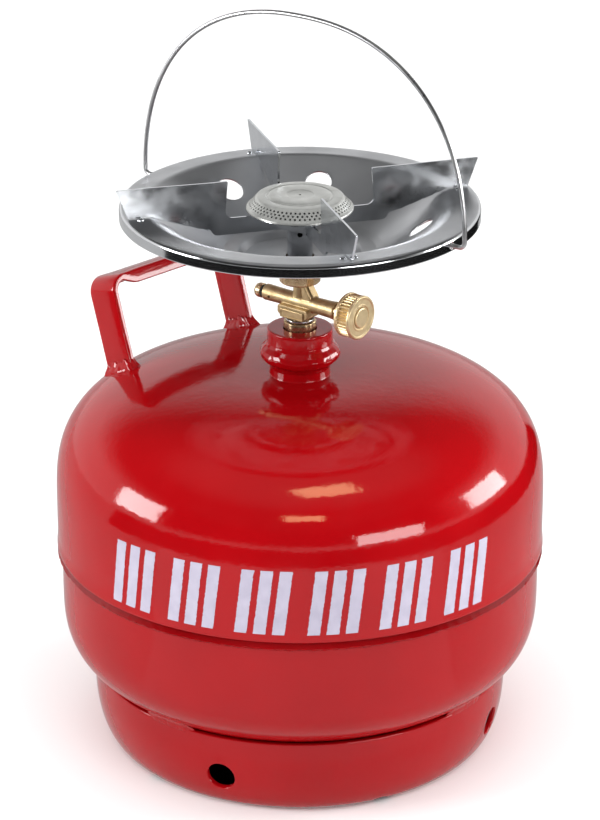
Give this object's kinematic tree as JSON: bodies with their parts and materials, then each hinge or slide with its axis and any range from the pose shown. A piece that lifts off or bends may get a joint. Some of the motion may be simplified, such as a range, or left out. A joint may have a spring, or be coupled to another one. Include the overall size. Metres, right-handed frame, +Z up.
{
  "type": "propane cylinder with camping burner",
  "caption": "Small red two-shell propane cylinder with foot ring, strap handle and a screw-on brass tap carrying a dished burner, pot supports and wire bail.",
  "frame": {"origin": "centre of the foot ring's bottom edge, on the cylinder's axis", "axes": "+Z up the cylinder's axis; the front, with the white bars in its middle, faces -Y"},
  "size_m": [0.223, 0.223, 0.3425],
  "materials": {
    "red_paint": "thick glossy red enamel with a light orange-peel",
    "white_marking": "stencilled white enamel bars",
    "brass": "satin cast and turned brass",
    "knob_brass": "satin brass-coated casting with moulded ribs",
    "zinc_plate": "zinc-plated sheet steel, satin with faint spangle",
    "burner_steel": "pressed stainless sheet, satin",
    "polished_steel": "bright plated pressed sheet steel",
    "spring_wire": "bright drawn steel wire",
    "rubber": "black nitrile rubber"
  },
  "bodies": {
    "cylinder": {"upper_shell": "red_paint", "lower_shell": "red_paint", "girth_weld": "red_paint", "foot_ring": "red_paint", "foot_weld_1": "red_paint", "foot_weld_2": "red_paint", "foot_weld_3": "red_paint", "foot_weld_4": "red_paint", "carry_handle": "red_paint", "handle_weld_left": "red_paint", "handle_weld_right": "red_paint", "neck_boss": "red_paint", "neck_ring": "red_paint", "tank_valve": "brass", "spring_retainer": "brass", "poppet_spring": "spring_wire", "stub_seal": "rubber"},
    "poppet": {"valve_poppet": "brass"},
    "burner_lift": {"sealing_washer": "zinc_plate"},
    "burner": {"tap_body": "brass", "gland_nut": "brass", "relief_plug": "brass", "relief_seal": "rubber", "relief_spring": "spring_wire", "burner_hub": "brass", "jet_nozzle": "brass", "mixing_tube": "zinc_plate", "wind_shield_dish": "polished_steel", "burner_base": "burner_steel", "burner_cap": "burner_steel", "pot_support_right_back": "zinc_plate", "pot_support_left_front": "zinc_plate", "foot_spot_1": "zinc_plate", "foot_spot_2": "zinc_plate", "foot_spot_3": "zinc_plate", "foot_spot_4": "zinc_plate", "foot_spot_5": "zinc_plate", "foot_spot_6": "zinc_plate", "foot_spot_7": "zinc_plate", "foot_spot_8": "zinc_plate"},
    "relief_piston": {"relief_piston": "brass"},
    "spindle_lift": {"spindle_seal": "rubber"},
    "knob": {"spindle": "brass", "knob": "knob_brass", "knob_screw": "zinc_plate", "knob_cap": "knob_brass"},
    "bail": {"wire_bail": "spring_wire"}
  },
  "joints": [
    {"name": "burner_rise", "type": "slide", "parent": "cylinder", "child": "burner_lift", "axis": [0, 0, 1], "range_m": [0, 0.0047]},
    {"name": "burner_screw", "type": "hinge", "parent": "burner_lift", "child": "burner", "pos_m": [0, 0, 0.2], "axis": [0, 0, 1], "range_deg": [0, 1080]},
    {"name": "knob_travel", "type": "slide", "parent": "burner", "child": "spindle_lift", "axis": [0.788, -0.6157, 0], "range_m": [0, 0.0016]},
    {"name": "knob_turn", "type": "hinge", "parent": "spindle_lift", "child": "knob", "pos_m": [0, 0, 0.21], "axis": [0.788, -0.6157, 0], "range_deg": [0, 540]},
    {"name": "relief_travel", "type": "slide", "parent": "burner", "child": "relief_piston", "axis": [-0.788, 0.6157, 0], "range_m": [0, 0.002], "stiffness_N_per_m": 300, "springref_m": -0.002, "deforming": ["relief_spring"]},
    {"name": "poppet_travel", "type": "slide", "parent": "cylinder", "child": "poppet", "axis": [0, 0, -1], "range_m": [0, 0.0012], "stiffness_N_per_m": 300, "springref_m": -0.002, "deforming": ["poppet_spring"]},
    {"name": "bail_swing", "type": "hinge", "parent": "burner", "child": "bail", "pos_m": [0, 0, 0.2532], "axis": [0.8131, -0.5821, 0], "range_deg": [-92, 92]}
  ],
  "couplings": [
    {"joint": "burner_rise", "follows": "burner_screw", "m_per_rad": 0.00023873},
    {"joint": "knob_travel", "follows": "knob_turn", "m_per_rad": 0.00015915}
  ]
}
